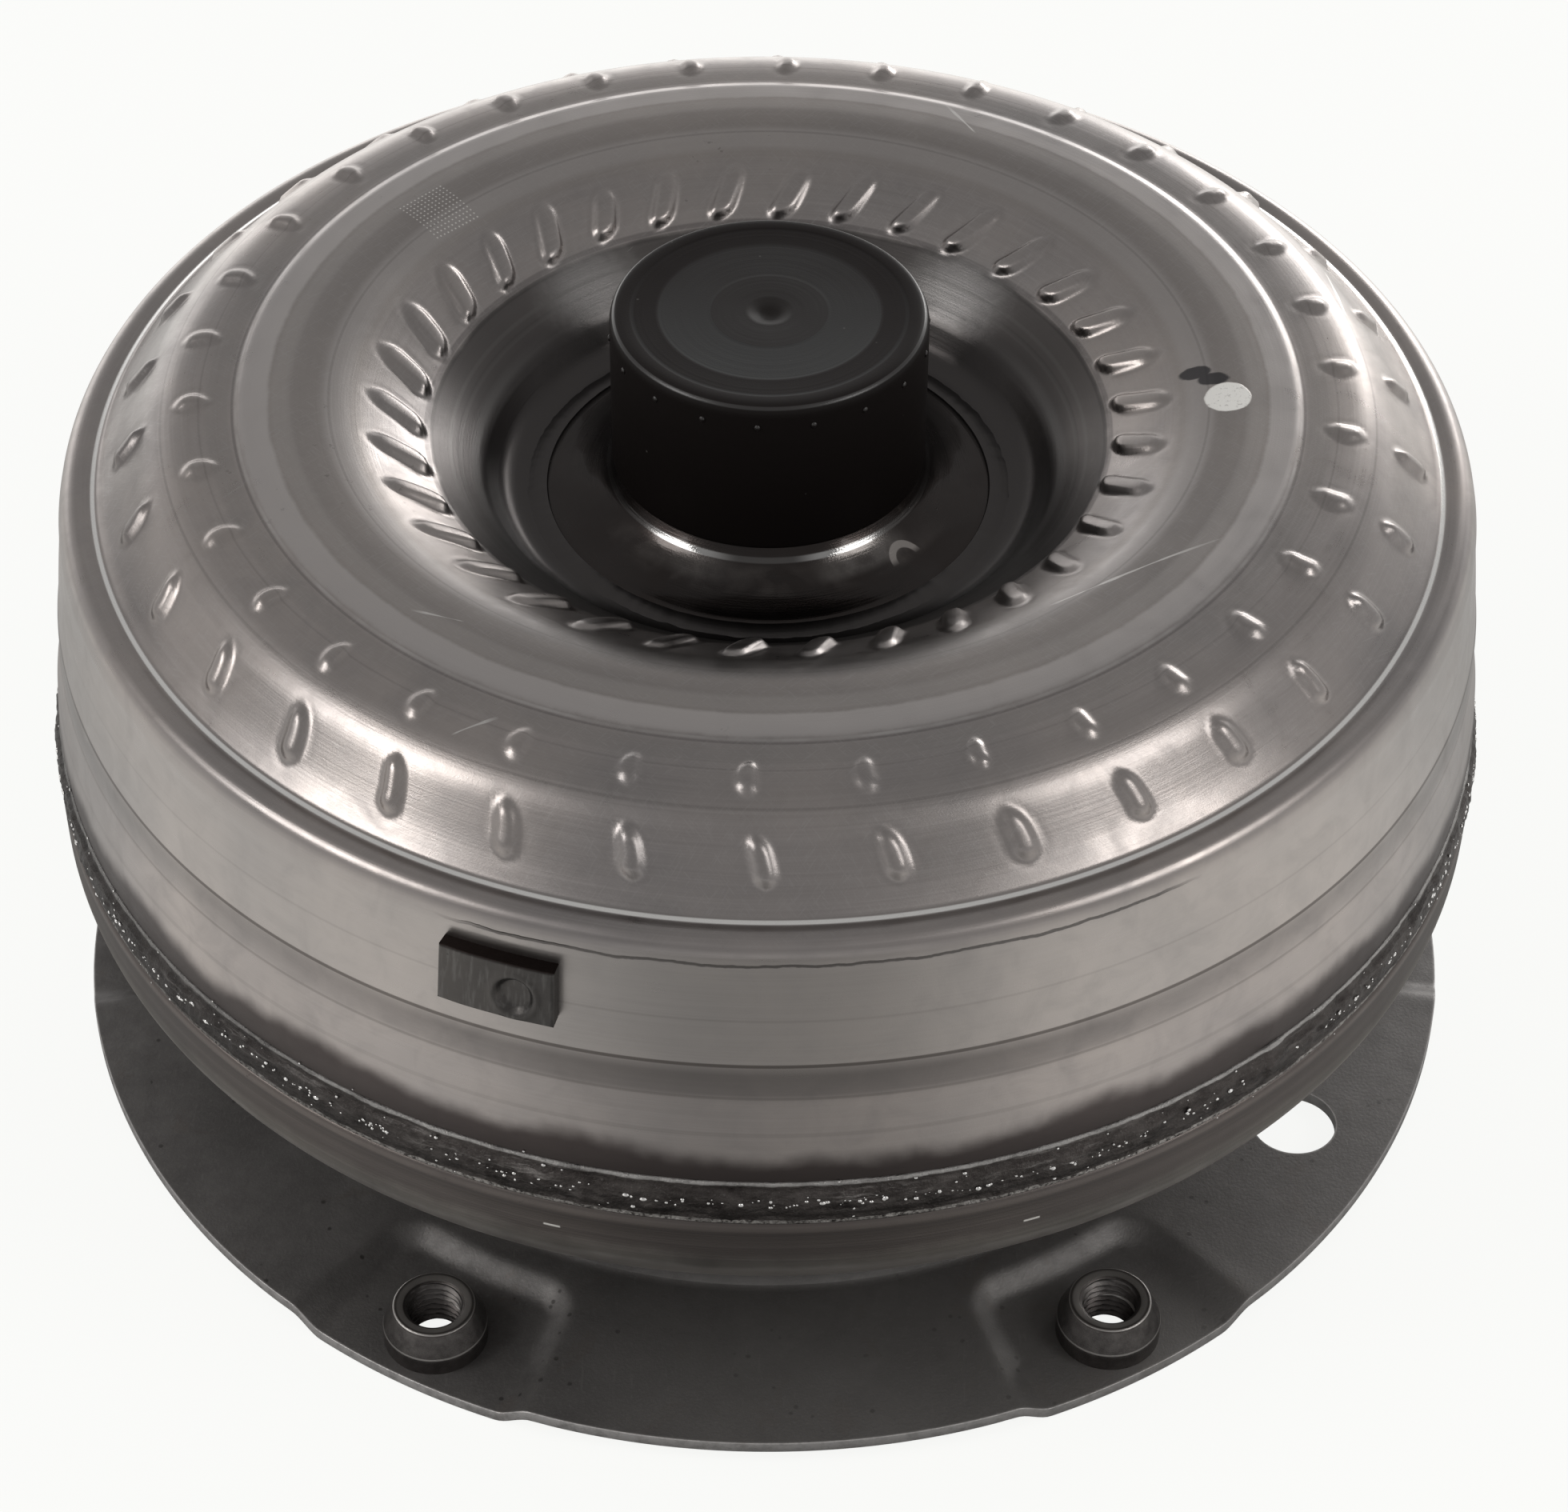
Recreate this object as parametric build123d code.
from build123d import *
import math
import os

# Lock-up torque converter for a passenger car.
# Millimetres and degrees. Z is the axis of rotation, +Z points from the engine side to the
# transmission side. The origin is the centre of the six drive pads' engine-side faces, and
# the X axis passes through one of the drive nuts.
# Profiles are lists of (radius, z) revolved about Z. LOW is the engine side, HIGH the other.

os.makedirs("parts", exist_ok=True)

# ---------------------------------------------------------------- dimensions
GAP = 0.05                 # clearance between touching pieces
CUT = 1.0                  # how far a cutter reaches past a face

# drive plate
PLATE_R = 146.5
PLATE_T = 2.6
PLATE_IN_R = 92.0
PLATE_ROUGH_R = PLATE_R + 3.0   # radius before trimming
PAD_DROP = 2.9             # how far a pad sits below the ring
PAD_HALF = 8.5             # half angle of a pad's flat
PAD_RAMP = 2.0             # extra half angle taken by each side ramp
PAD_IN_LOW, PAD_IN_HIGH = 117.5, 113.4   # inner radius at the pad and at the ring
CUP_R = 107.0              # bend line where the cup wall rises
ACCESS_R, ACCESS_AT = 8.8, 126.5

# drive nuts
NUT_COUNT = 6
NUT_AT = 134.0             # nut circle radius
NUT_COLLAR_R = 8.0
NUT_BASE_R = 10.4
NUT_TOP_R = 8.3
NUT_TOP = 11.9
NUT_HOLE_R = 5.25          # tapping bore of an M12 x 1.5 thread

# front cover and pilot
COVER_T = 4.0
COVER_R = 146.4
COVER_TOP = 69.7
COVER_Z = 45.7             # engine-side face of the flat
COVER_CORNER = 15.5
COVER_IN = COVER_Z + COVER_T
PILOT_BORE = 12.0
PILOT_R = 17.5
PILOT_FLANGE_R = 30.0
PILOT_FLANGE_Z = 42.6

# pump shell
SKIRT_R = 142.1
SKIRT_IN = 138.1
WELD_TOP = 80.1
# (radius, z) from the hub to the rim, outside and inside faces
PUMP_OUT = [(45.2, 127.0), (52.0, 126.6), (54.6, 130.2), (57.4, 133.9), (61.6, 137.6),
            (66.6, 141.2), (73.6, 145.6), (81.1, 149.5), (86.2, 151.6), (91.5, 152.6),
            (98.8, 152.2), (104.0, 151.6), (111.0, 151.0), (116.5, 150.0), (121.2, 147.0),
            (125.3, 142.5), (129.0, 138.2), (133.4, 134.9), (137.3, 135.2), (139.2, 134.6),
            (139.9, 133.4), (140.2, 127.0), (142.7, 108.5), (143.1, 100.2), (144.6, 91.0),
            (145.6, WELD_TOP)]
PUMP_IN = [(45.2, 122.8), (54.0, 122.8), (57.4, 127.6), (60.5, 131.2), (64.6, 134.5),
           (69.0, 137.8), (75.6, 142.0), (82.8, 145.7), (87.2, 147.6), (92.0, 148.6),
           (98.6, 148.2), (103.6, 147.6), (110.4, 147.0), (114.8, 146.1), (118.6, 143.8),
           (122.3, 139.9), (126.2, 135.4), (131.0, 131.2), (134.4, 130.2), (136.2, 127.0),
           (138.7, 108.0), (139.2, 100.0), (140.6, 91.0), (141.0, 84.5), (SKIRT_IN, 79.0)]
BUMP_H = 0.9
# radius, angle of the first, length, width, z, slope, twist
BUMP_RINGS = [(74.5, 0.25, 15.5, 4.2, 145.6, 30.0, -24.0),
              (112.6, 2.45, 7.8, 4.0, 150.4, -8.0, 0.0),
              (125.4, 4.10, 9.6, 4.6, 142.1, -45.0, 0.0)]

# torus
CORE_R = 96.0              # centre radius of the core ring
CORE_A, CORE_B, CORE_T = 17.0, 15.0, 1.5   # half width, half height, thickness
PUMP_FACE = 113.5
TURB_FACE = 110.5
PUMP_BLADES = 34
TURB_BLADES = 31
BLADE_T = 1.2
BLADE_GAP = 0.12           # between a blade and its shell
PASSAGE_R = 78.6           # inner radius of the blades at the faces
PASSAGE_PUMP_Z = 119.6     # engine-side end of the pump blades inside PASSAGE_R
# blade plans as (radius, degrees)
PUMP_PLAN = [(54, 9.8), (62, 5.6), (68, 2.95), (74.5, 0.35), (81, -2.05), (90, -4.9),
             (100, -7.0), (108, -7.9), (114, -8.1), (120, -7.5), (126, -6.5), (137, -4.0)]
TURB_PLAN = [(54, -11.5), (62, -6.8), (70, -2.6), (80, 1.6), (90, 4.6), (100, 6.4),
             (110, 6.9), (120, 6.1), (128, 4.6), (137, 2.4)]
TURB_A, TURB_B, TURB_T = 36.8, 37.0, 2.0   # bowl half width, half height, thickness
TURB_C = 111.0             # z of the bowl's centre
TURB_END = 138.0           # where the turbine shell's bowl meets its flange, degrees

# pump hub and cap
HUB_R = 28.25
HUB_BORE = 23.5
HUB_TOP = 164.0
HUB_BOTTOM = 121.5
HUB_FLANGE = 45.0
HUB_FLANGE_R = HUB_FLANGE - 0.1
SLOT_W = 9.0
CAP_R = 31.0
CAP_IN = 28.35
CAP_BOTTOM, CAP_TOP = 134.8, 169.0

# turbine hub
THUB_R = 28.0
THUB_BOTTOM, THUB_TOP = 53.8, 95.2
THUB_SPLINE = 13.5
THUB_FLANGE_Z = 82.0
GROOVE_R, GROOVE_LOW, GROOVE_HIGH = 26.0, 55.9, 58.0

# rivets
RIVET_R = 3.0
RIVET_HEAD_R = 5.0
RIVET_HOLE = Cylinder(RIVET_R + GAP, 12)
TURB_RIVETS = (49.5, 12)   # circle radius, count

# damper
SPRING_R, SPRING_Z = 80.0, 66.0
SPRING_OD, SPRING_WIRE, SPRING_LEN, SPRING_TURNS = 13.0, 2.8, 40.0, 6.5
SPRING_COUNT = 6
WINDOW_HALF = SPRING_LEN / 2 + 0.3
LOWER_Z, UPPER_Z, CAGE_T = 60.8, 69.2, 2.0
LOWER_TOP, UPPER_TOP = LOWER_Z + CAGE_T, UPPER_Z + CAGE_T
CAGE_BORE, LOWER_R, UPPER_R = 46.0, 121.0, 112.5
FLANGE_Z, FLANGE_T = 64.7, 2.6
FLANGE_TOP = FLANGE_Z + FLANGE_T
STOP_AT = 106.0            # circle radius of the spacer rivets that act as stops
STOP_R = 4.5               # body radius of a spacer rivet
TWIST = 8.0                # travel each way, degrees

# lock-up piston
LINING_Z, LINING_T = 50.75, 1.2
LINING_IN, LINING_OUT = 105.0, 127.0
PISTON_Z = LINING_Z + LINING_T
PISTON_T = 2.8
PISTON_R = 129.0
PISTON_WEB_Z = 55.4
LUG_IN, LUG_OUT, LUG_HALF = 116.0, 119.0, 4.0   # two radii and a half angle

# stator and freewheel
STATOR_LOW, STATOR_HIGH = 99.2, 117.4
STATOR_HUB_R, STATOR_RIM_IN = 52.0, 74.5
RACE_LOW, RACE_HIGH = 100.3, 116.3
RACE_R = 46.1
INNER_RACE_R = 33.0
ROLLER_R = 3.5
ROLLERS = 10
ROLLER_AT = INNER_RACE_R + ROLLER_R + 0.08


# ------------------------------------------------------------------- helpers
def ring(points, arc=360.0):
    """The (radius, z) outline revolved about Z, starting at the X axis."""
    outline = Polyline(*[(float(r), float(z)) for r, z in points], close=True)
    return revolve(Plane.XZ * make_face(outline), Axis.Z, arc)


def tube(r_in, r_out, low, high, arc=360.0):
    return ring([(r_in, low), (r_out, low), (r_out, high), (r_in, high)], arc)


def sector(r_in, r_out, start, end, low, high):
    return Rot(0, 0, start) * tube(r_in, r_out, low, high, end - start)


def rod(radius, height):
    """A cylinder standing on z = 0."""
    return Cylinder(radius, height, align=(Align.CENTER, Align.CENTER, Align.MIN))


def polar(radius, angle):
    return (radius * math.cos(math.radians(angle)), radius * math.sin(math.radians(angle)))


def at(radius, angle, z, item):
    x, y = polar(radius, angle)
    return Pos(x, y, z) * Rot(0, 0, angle) * item


def block(x_low, x_high, half, low, high):
    """A block lying along +X, half wide each side of the X axis."""
    return Pos((x_low + x_high) / 2, 0, (low + high) / 2) * Box(x_high - x_low, 2 * half, high - low)


def around(item, count, start=0.0):
    """Copies of an item turned about Z."""
    return [Rot(0, 0, start + 360.0 / count * k) * item for k in range(count)]


def on_circle(radius, count, z, item, start=0.0):
    """Copies of an item modelled at the origin, set out on a circle."""
    return [at(radius, start + 360.0 / count * k, z, item) for k in range(count)]


def save(name, items):
    bodies = []
    for item in items if isinstance(items, (list, tuple)) else [items]:
        bodies.extend(item.solids())
    shape = bodies[0] if len(bodies) == 1 else Compound(bodies)
    export_step(shape, "parts/" + name + ".step")


def ellipse_points(center_z, half_w, half_h, start, end, side):
    """Points of an ellipse centred at CORE_R; side is +1 for the +Z half, -1 for the -Z half."""
    count = 24
    points = []
    for k in range(count + 1):
        angle = math.radians(start + (end - start) * k / count)
        points.append((CORE_R + half_w * math.cos(angle),
                       center_z + side * half_h * math.sin(angle)))
    return points


def offset_right(points, distance):
    """The polyline moved to its right-hand side, with mitred corners."""
    moved = []
    for i, point in enumerate(points):
        normals = []
        for a, b in ((i - 1, i), (i, i + 1)):
            if a < 0 or b >= len(points):
                continue
            dx, dy = points[b][0] - points[a][0], points[b][1] - points[a][1]
            size = math.hypot(dx, dy)
            normals.append((dy / size, -dx / size))
        nx = sum(v[0] for v in normals) / len(normals)
        ny = sum(v[1] for v in normals) / len(normals)
        square = nx * nx + ny * ny
        moved.append((point[0] + nx * distance / square, point[1] + ny * distance / square))
    return moved


def blade_plate(plan, low, high):
    """A thin upright plate whose plan follows a list of (radius, degrees)."""
    middle = [polar(radius, angle) for radius, angle in plan]
    left, right = [], []
    for i, (x, y) in enumerate(middle):
        before, after = middle[max(i - 1, 0)], middle[min(i + 1, len(middle) - 1)]
        dx, dy = after[0] - before[0], after[1] - before[1]
        size = math.hypot(dx, dy)
        nx, ny = -dy / size * BLADE_T / 2, dx / size * BLADE_T / 2
        left.append((x + nx, y + ny))
        right.append((x - nx, y - ny))
    face = make_face([Spline(*left), Line(left[-1], right[-1]), Spline(*right[::-1]),
                      Line(right[0], left[0])])
    return Pos(0, 0, low) * extrude(face, amount=high - low)


def save_blades(name, blade, count):
    save(name, [copy for body in blade.solids() for copy in around(body, count)])


def core_ring(face_z, side):
    return ring(ellipse_points(face_z, CORE_A, CORE_B, 0, 180, side)
                + ellipse_points(face_z, CORE_A - CORE_T, CORE_B - CORE_T, 180, 0, side))


def core_cutter(face_z, side):
    """The room the core ring takes out of the blades."""
    return ring(ellipse_points(face_z - side * 0.01, CORE_A + 0.1, CORE_B + 0.1, 0, 180, side))


# ---------------------------------------------------------------- front cover
# A deep stamped dish, closed in the middle, with a rolled outer corner.
def corner_arc(radius, angles):
    return [(COVER_R - COVER_CORNER + radius * math.cos(math.radians(t)),
             COVER_Z + COVER_CORNER - radius * math.sin(math.radians(t))) for t in angles]


save("front_cover", ring(
    [(0, COVER_Z)] + corner_arc(COVER_CORNER, range(90, -1, -10))
    + [(COVER_R, COVER_TOP - 0.8), (COVER_R - 0.8, COVER_TOP), (COVER_R - COVER_T, COVER_TOP)]
    + corner_arc(COVER_CORNER - COVER_T, range(0, 91, 10)) + [(0, COVER_IN)]))

# The pilot is a hollow stub that centres the converter in the crankshaft.
save("pilot_hub", ring([
    (PILOT_BORE, 3.0), (PILOT_BORE + 1.0, 1.5), (PILOT_R - 1.0, 1.5), (PILOT_R, 2.5),
    (PILOT_R, 40.5), (19.5, PILOT_FLANGE_Z), (PILOT_FLANGE_R, PILOT_FLANGE_Z),
    (PILOT_FLANGE_R, COVER_Z - GAP), (PILOT_BORE, COVER_Z - GAP)]))
save("pilot_weld", ring([
    (PILOT_FLANGE_R + GAP, 43.4), (31.4, 43.7), (32.6, 44.7), (33.0, COVER_Z - GAP),
    (PILOT_FLANGE_R + GAP, COVER_Z - GAP)]))


# ---------------------------------------------------------------- drive plate
# A flat ring with six sunken pads, and a cup wall that rises to the cover.
def pad_section(z, rise, in_off=0.0, half_off=0.0, r_out=PLATE_ROUGH_R + 6.0):
    """A pad's outline at height z, where its sloping sides have climbed by rise."""
    ramp = rise / PAD_DROP
    r_in = PAD_IN_LOW + (PAD_IN_HIGH - PAD_IN_LOW) * ramp - in_off
    half = PAD_HALF + PAD_RAMP * ramp - half_off
    near = [polar(r_in, angle) for angle in (-half, 0, half)]
    far = [polar(r_out, angle) for angle in (half, 0, -half)]
    return Pos(0, 0, z) * make_face([ThreePointArc(*near), Line(near[2], far[0]),
                                     ThreePointArc(*far), Line(far[2], near[0])])


def dip_section(rise):
    return pad_section(PLATE_T + rise, rise, 0.6, 0.2, PLATE_ROUGH_R + 11)


plate = ring([
    (PLATE_ROUGH_R, PAD_DROP), (PLATE_ROUGH_R, PAD_DROP + PLATE_T), (CUP_R, PAD_DROP + PLATE_T),
    (CUP_R - 1.2, PAD_DROP + PLATE_T + 1.4), (102.5, COVER_Z - 1.6), (101.4, COVER_Z - GAP),
    (PLATE_IN_R, COVER_Z - GAP), (PLATE_IN_R, COVER_Z - 2.05), (99.8, COVER_Z - 2.05),
    (104.0, PAD_DROP + 1.2), (105.2, PAD_DROP)])
pan = loft([pad_section(0, 0), pad_section(4.0, 4.0)], ruled=True)
dip = loft([dip_section(0), dip_section(4.2)], ruled=True)
plate = plate + around(pan, NUT_COUNT)
plate = plate - around(dip, NUT_COUNT)
plate = plate - on_circle(NUT_AT, NUT_COUNT, -CUT, rod(NUT_COLLAR_R + GAP, 8))
plate = plate - on_circle(ACCESS_AT, 2, 0, Cylinder(ACCESS_R, 12), -30)
plate = plate & Pos(0, 0, -2) * rod(PLATE_R, 62)
save("drive_plate", plate)

# Weld nuts: a pilot collar in the pad, a round seat and a conical body.
nut = ring([
    (NUT_HOLE_R, 0.1), (NUT_COLLAR_R, 0.1), (NUT_COLLAR_R, PLATE_T + GAP),
    (NUT_BASE_R, PLATE_T + GAP), (NUT_BASE_R, NUT_TOP - 5.1), (NUT_BASE_R - 0.3, NUT_TOP - 4.7),
    (NUT_TOP_R, NUT_TOP - 0.4), (NUT_TOP_R - 0.4, NUT_TOP), (6.0, NUT_TOP - 0.35),
    (NUT_HOLE_R, NUT_TOP - 1.0)])
save("drive_plate_nuts", on_circle(NUT_AT, NUT_COUNT, 0, nut))
save("plate_weld", ring([
    (88.6, COVER_Z - GAP), (89.4, COVER_Z - 1.2), (91.0, COVER_Z - 1.9),
    (PLATE_IN_R - GAP, COVER_Z - 2.0), (PLATE_IN_R - GAP, COVER_Z - GAP)]))

# ----------------------------------------------------------------- pump shell
shell = ring(PUMP_OUT + [(SKIRT_R, WELD_TOP), (SKIRT_R, 63.6), (SKIRT_R - 0.6, 63.0),
                         (SKIRT_IN, 63.0)] + PUMP_IN[::-1])


def bump(radius, angle, length, width, z, slope, twist):
    """A low rounded pad standing out of the shell's outside."""
    pad = Box(length, width, 2 * BUMP_H + 1.0)
    pad = fillet(pad.edges().filter_by(Axis.Z), width * 0.45)
    return Rot(0, 0, angle) * Pos(radius, 0, z) * Rot(0, -slope, 0) * Rot(0, 0, twist) * pad


# Pressed bumps over the blade tabs.
shell = shell + [bump(radius, first + k * 360.0 / PUMP_BLADES, *rest)
                 for k in range(PUMP_BLADES) for radius, first, *rest in BUMP_RINGS]
save("pump_shell", shell)

save("closure_weld", ring([
    (SKIRT_R + GAP, COVER_TOP + GAP), (COVER_R - 0.2, COVER_TOP + GAP), (146.45, 71.6),
    (146.3, 74.5), (146.0, 77.6), (145.7, 79.6), (145.4, WELD_TOP - GAP),
    (SKIRT_R + GAP, WELD_TOP - GAP)]))

# ------------------------------------------------------------------- pump hub
# The hub drives the transmission's oil pump with two slots in its end.
hub = ring([
    (HUB_BORE, HUB_BOTTOM), (HUB_FLANGE_R, HUB_BOTTOM), (HUB_FLANGE_R, 126.6), (44.4, 127.1),
    (40.5, 128.0), (36.0, 129.7), (32.6, 132.0), (31.0, 133.4), (30.0, 134.4), (29.0, 136.2),
    (HUB_R, 138.6), (HUB_R, HUB_TOP - 1.0), (HUB_R - 1.0, HUB_TOP), (HUB_BORE + 0.8, HUB_TOP),
    (HUB_BORE, HUB_TOP - 0.8)])
hub = hub - Pos(0, 0, HUB_TOP - 4.5) * Box(80, SLOT_W, 9.1)
hub = hub + at(37.8, -44.6, 127.4, rod(3.1, 2.6))   # small round boss
save("pump_hub", hub)
save("hub_weld", ring([(HUB_FLANGE - 0.6, 127.12), (45.25, 127.05), (48.4, 126.9),
                       (47.2, 127.9), (45.6, 128.3), (44.4, 127.7)]))

# ---------------------------------------------------------------- pump blades
# Thin curved plates trimmed by the passage between shell and core ring.
wall = offset_right(PUMP_IN[2:20], BLADE_GAP)
passage = ring([(wall[0][0] + 0.2, PASSAGE_PUMP_Z)] + wall
               + [(134.2, PUMP_FACE), (PASSAGE_R, PUMP_FACE), (PASSAGE_R, PASSAGE_PUMP_Z)])
passage = passage - core_cutter(PUMP_FACE, 1)
save_blades("pump_blades", blade_plate(PUMP_PLAN, PUMP_FACE, 150.0) & passage, PUMP_BLADES)
save("pump_core_ring", core_ring(PUMP_FACE, 1))

# Balance weight: a small curved plate on the shell's side, with a spherical dimple.
weight = ring([(140.3, 127.0), (143.3, 127.0), (144.9, 115.1), (141.9, 115.1)], 8.85)
weight = Rot(0, 0, -114.8) * weight
DIMPLE_R = 8.0
weight = weight - at(144.0 + DIMPLE_R - 0.9, -109.0, 120.3, Sphere(DIMPLE_R))
save("balance_weight", weight)

# Plastic transport cap, a plain push-on cup with a ring of small nubs.
cap = ring([
    (0, CAP_TOP - 3.4), (CAP_IN, CAP_TOP - 3.4), (CAP_IN, CAP_BOTTOM + 4.8),
    (CAP_R - 0.6, CAP_BOTTOM), (CAP_R, CAP_BOTTOM), (CAP_R, CAP_TOP - 1.5),
    (CAP_R - 0.45, CAP_TOP - 0.45), (CAP_R - 1.5, CAP_TOP), (2.6, CAP_TOP),
    (1.4, CAP_TOP - 0.8), (0, CAP_TOP - 1.0)])
cap = cap + on_circle(CAP_R - 0.1, 18, 164.4, Box(0.8, 0.9, 1.2), -93.7)
save("transport_cap", cap)


# -------------------------------------------------------------------- turbine
def bowl(inset, start, end):
    return ellipse_points(TURB_C, TURB_A - inset, TURB_B - inset, start, end, -1)


bowl_out = bowl(0, 0, TURB_END)
seat = bowl_out[-1][1]     # engine-side face of the shell's flange
seat_top = seat + TURB_T
turbine = ring(bowl_out + [(41.0, seat), (41.0, seat_top), (66.5, seat_top)]
               + bowl(TURB_T, 0, TURB_END)[::-1])
turbine = turbine - on_circle(*TURB_RIVETS, seat, RIVET_HOLE)
save("turbine_shell", turbine)

wall = bowl(TURB_T + BLADE_GAP, 2, TURB_END - 2)
passage = ring([(wall[0][0], TURB_FACE)] + wall[1:]
               + [(70.0, seat_top + BLADE_GAP), (58.0, seat_top + BLADE_GAP), (58.0, 97.0),
                  (PASSAGE_R, 97.6), (PASSAGE_R, TURB_FACE)])
passage = passage - core_cutter(TURB_FACE, -1)
save_blades("turbine_blades", blade_plate(TURB_PLAN, 70, TURB_FACE) & passage, TURB_BLADES)
save("turbine_core_ring", core_ring(TURB_FACE, -1))

# Turbine hub, splined for the transmission's input shaft.
thub = ring([
    (THUB_SPLINE, THUB_BOTTOM), (THUB_R, THUB_BOTTOM), (THUB_R, GROOVE_LOW),
    (GROOVE_R, GROOVE_LOW), (GROOVE_R, GROOVE_HIGH), (THUB_R, GROOVE_HIGH),
    (THUB_R, FLANGE_TOP + 0.1), (36.0, FLANGE_TOP + 0.1), (36.0, 80.0), (38.0, THUB_FLANGE_Z),
    (57.0, THUB_FLANGE_Z), (57.0, seat - GAP), (40.9, seat - GAP), (40.9, THUB_TOP),
    (20.0, THUB_TOP), (THUB_SPLINE, 90.0)])
thub = thub - on_circle(*TURB_RIVETS, 84, RIVET_HOLE)
thub = thub - around(block(THUB_SPLINE - 1.0, THUB_SPLINE + 1.1, 0.85, THUB_BOTTOM - CUT, 91), 24)
save("turbine_hub", thub)
rivet = ring([
    (0, 79.8), (4.2, 79.8), (RIVET_HEAD_R, 80.6), (RIVET_HEAD_R, THUB_FLANGE_Z - GAP),
    (RIVET_R, THUB_FLANGE_Z - GAP), (RIVET_R, seat_top + GAP), (RIVET_HEAD_R, seat_top + GAP),
    (RIVET_HEAD_R, seat_top + 1.2), (4.0, seat_top + 2.0), (0, seat_top + 2.0)])
save("turbine_rivets", on_circle(*TURB_RIVETS, 0, rivet))

# Split seal ring in the hub's groove.
seal = tube(GROOVE_R + 0.1, THUB_R - 0.02, GROOVE_LOW + 0.1, GROOVE_HIGH - 0.1)
save("piston_seal_ring", seal - sector(24, 30, -1.0, 1.0, 55, 59))

# --------------------------------------------------------------------- damper
# The driven flange on the turbine hub, with spring windows and stop notches.
flange = tube(THUB_R + GAP, 111.0, FLANGE_Z, FLANGE_TOP)
flange = flange - around(block(71.6, 90.6, WINDOW_HALF, FLANGE_Z - CUT, FLANGE_TOP + CUT),
                         SPRING_COUNT)
notch = TWIST + math.degrees(math.asin(STOP_R / STOP_AT)) + 0.6
flange = flange - around(sector(STOP_AT - 5.5, 115, -notch, notch, FLANGE_Z - CUT,
                                FLANGE_TOP + CUT), SPRING_COUNT, 30)
save("damper_flange", flange)


def cage_plate(radius, low):
    """A cage plate with its spring windows and spacer rivet holes."""
    disc = tube(CAGE_BORE, radius, low, low + CAGE_T)
    window = block(72.0, 90.2, WINDOW_HALF, low - CUT, low + CAGE_T + CUT)
    disc = disc - around(window, SPRING_COUNT)
    return disc - on_circle(STOP_AT, SPRING_COUNT, low, RIVET_HOLE, 30)


# The lower plate has slots that take the piston's lugs.
lug_slot = sector(LUG_IN - 0.6, LUG_OUT + 0.6, -LUG_HALF - 0.3, LUG_HALF + 0.3,
                  LOWER_Z - CUT, LOWER_TOP + CUT)
save("damper_lower_plate", cage_plate(LOWER_R, LOWER_Z) - around(lug_slot, 6))
save("damper_upper_plate", cage_plate(UPPER_R, UPPER_Z))
spacer = ring([
    (0, LOWER_Z - 1.4), (4.6, LOWER_Z - 1.4), (RIVET_HEAD_R, LOWER_Z - 0.9),
    (RIVET_HEAD_R, LOWER_Z - GAP), (RIVET_R, LOWER_Z - GAP), (RIVET_R, LOWER_TOP + GAP),
    (STOP_R, LOWER_TOP + GAP), (STOP_R, UPPER_Z - GAP), (RIVET_R, UPPER_Z - GAP),
    (RIVET_R, UPPER_TOP + GAP), (RIVET_HEAD_R, UPPER_TOP + GAP),
    (RIVET_HEAD_R, UPPER_TOP + 0.9), (4.6, UPPER_TOP + 1.4), (0, UPPER_TOP + 1.4)])
save("damper_spacer_rivets", on_circle(STOP_AT, SPRING_COUNT, 0, spacer, 30))

coil_len = SPRING_LEN - SPRING_WIRE
helix = Helix(pitch=coil_len / SPRING_TURNS, height=coil_len,
              radius=(SPRING_OD - SPRING_WIRE) / 2)
wire = Plane(origin=helix @ 0, z_dir=helix % 0) * Circle(SPRING_WIRE / 2)
coil = sweep(wire, path=helix)
coil = Pos(SPRING_R, -coil_len / 2, SPRING_Z) * Rot(-90, 0, 0) * coil
save("damper_springs", around(coil, SPRING_COUNT))

# --------------------------------------------------------------- lock-up piston
web_top = PISTON_WEB_Z + PISTON_T
rim_top = PISTON_Z + PISTON_T
piston = ring([
    (THUB_R + GAP, 54.3), (31.6, 54.3), (33.0, PISTON_WEB_Z), (96.0, PISTON_WEB_Z),
    (101.5, PISTON_Z), (PISTON_R, PISTON_Z), (PISTON_R, rim_top), (103.0, rim_top),
    (97.4, web_top), (34.0, web_top), (31.6, 59.6), (THUB_R + GAP, 59.6)])
piston = piston + around(sector(LUG_IN, LUG_OUT, -LUG_HALF, LUG_HALF, rim_top - 0.5, 63.6), 6)
save("lockup_piston", piston)
save("friction_lining", tube(LINING_IN, LINING_OUT, LINING_Z, PISTON_Z - 0.02))

# --------------------------------------------------------------------- stator
stator = (tube(RACE_R + GAP, STATOR_HUB_R, STATOR_LOW, STATOR_HIGH)
          + tube(STATOR_RIM_IN, 77.0, 101.0, 116.0))
# The vane's section in (z, y), drawn across a spoke along +X.
nose, tail = (-8.4, -6.2), (8.6, 6.6)
lens = make_face([ThreePointArc(nose, (-0.2, 2.9), tail), ThreePointArc(tail, (0.9, -0.4), nose)])
spoke = Plane(origin=(0, 0, 0), x_dir=(0, 0, 1), z_dir=(1, 0, 0))
vane = Pos(48.5, 0, 108.4) * extrude(spoke * lens, amount=30)
vane = vane & tube(STATOR_HUB_R - 1.0, STATOR_RIM_IN + 1.0, 99.0, 118.0)
save("stator_wheel", stator + around(vane, 17))

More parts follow.
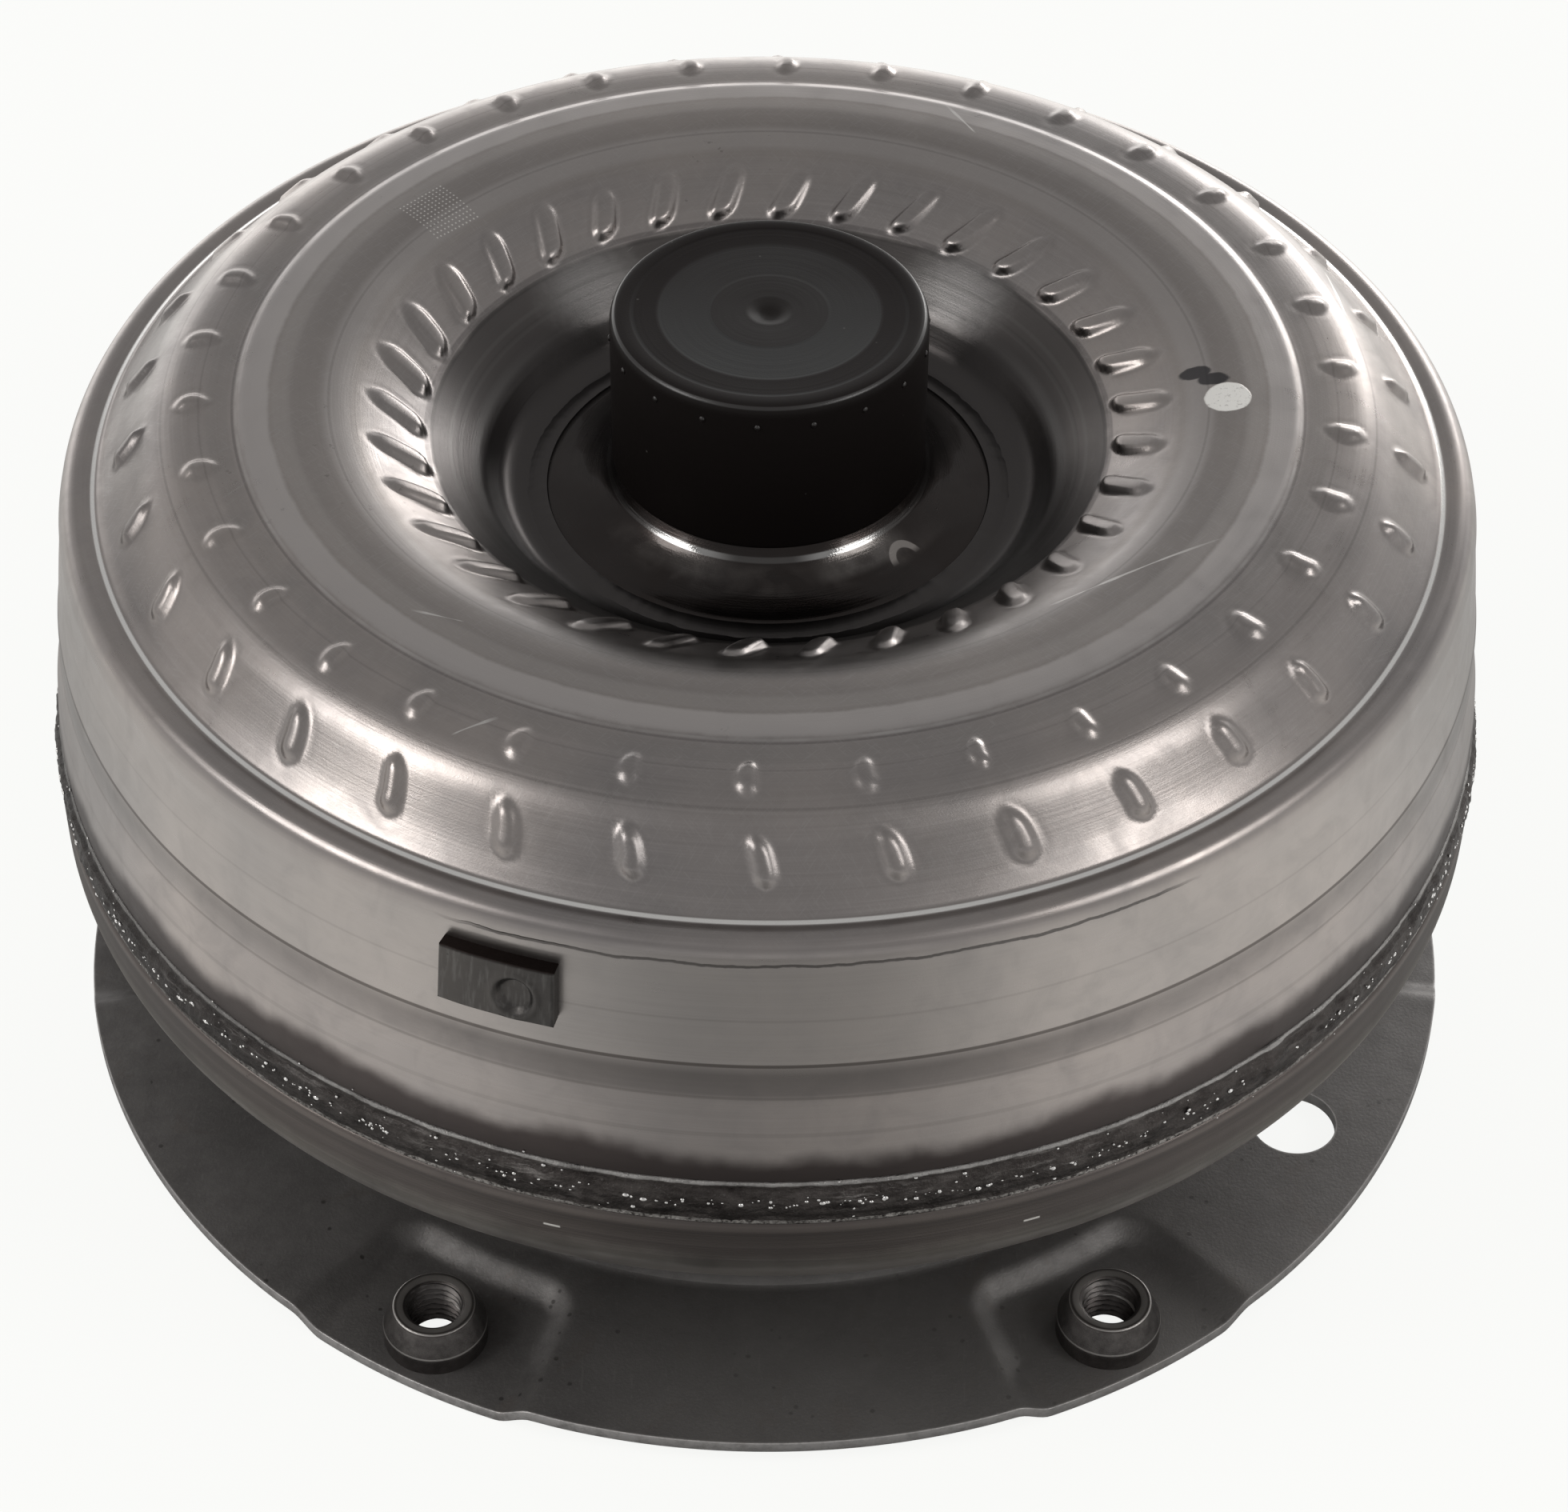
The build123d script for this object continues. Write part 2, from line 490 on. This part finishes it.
# ------------------------------------------------------------------ freewheel
pockets = []
for k in range(ROLLERS):
    angle = 360 / ROLLERS * k
    low, high = RACE_LOW - CUT, RACE_HIGH + CUT
    pockets += [at(ROLLER_AT, angle, low, rod(ROLLER_R + 0.12, high - low)),
                at(36.5, angle + 9, low, rod(3.1, high - low)),
                Rot(0, 0, angle) * sector(33.4, 39.6, -1.0, 10.0, low, high)]
save("freewheel_outer_race", tube(34.2, RACE_R, RACE_LOW, RACE_HIGH) - pockets)
roller = Cylinder(ROLLER_R, RACE_HIGH - RACE_LOW - 1.0)
save("freewheel_rollers", on_circle(ROLLER_AT, ROLLERS, (RACE_LOW + RACE_HIGH) / 2, roller))


def leaf_arm(r_in, r_out, start, end):
    return sector(r_in, r_out, start, end, RACE_LOW + 2, RACE_HIGH - 2)


leaf = (leaf_arm(34.9, 35.3, 6.6, 11.2) + leaf_arm(34.9, 38.6, 11.2, 11.8)
        + leaf_arm(38.2, 38.6, 6.6, 11.2))
save("freewheel_springs", around(leaf, ROLLERS))
save("freewheel_front_plate", tube(33.3, RACE_R, STATOR_LOW, RACE_LOW - GAP))
save("freewheel_rear_plate", tube(33.3, RACE_R, RACE_HIGH + GAP, STATOR_HIGH))
spline_cut = block(20.0, 22.4, 1.15, RACE_LOW - CUT, RACE_HIGH + CUT)
save("freewheel_inner_race",
     tube(21.0, INNER_RACE_R, RACE_LOW, RACE_HIGH) - around(spline_cut, 30))

# ----------------------------------------------------- needle thrust bearings
# Radii are (inner, outer). Each bearing lies between two washers.
WIDE = ((29.0, 38.0), 26, (27.4, 39.6), (27.0, 40.0))    # needles, count, cage, washers
SMALL = ((17.6, 25.4), 18, (16.4, 26.6), (16.0, 27.0))
# name, engine-side washer, transmission-side washer, face below, needle z, face above, size
BEARINGS = [
    ("pump", "stator_rear", "pump_bearing", STATOR_HIGH, 118.4, HUB_BOTTOM, WIDE),
    ("turbine", "turbine_bearing", "stator_front", THUB_TOP, 96.25, STATOR_LOW, WIDE),
    ("cover", "cover_bearing", "turbine_thrust", COVER_IN, 50.8, THUB_BOTTOM, SMALL)]

for name, low_washer, high_washer, below, z, above, size in BEARINGS:
    (r_in, r_out), count, cage_radii, washer_radii = size
    needle = Pos(r_in, 0, z + 1.0) * Rot(0, 90, 0) * rod(0.98, r_out - r_in)
    cage = tube(*cage_radii, z + 0.45, z + 1.55)
    cage = cage - around(block(r_in - 0.15, r_out + 0.15, 1.08, z, z + 2), count)
    save(name + "_bearing_cage", cage)
    save(name + "_bearing_needles", around(needle, count))
    save(low_washer + "_washer", tube(*washer_radii, below + GAP, z - 0.1))
    save(high_washer + "_washer", tube(*washer_radii, z + 2.1, above - GAP))
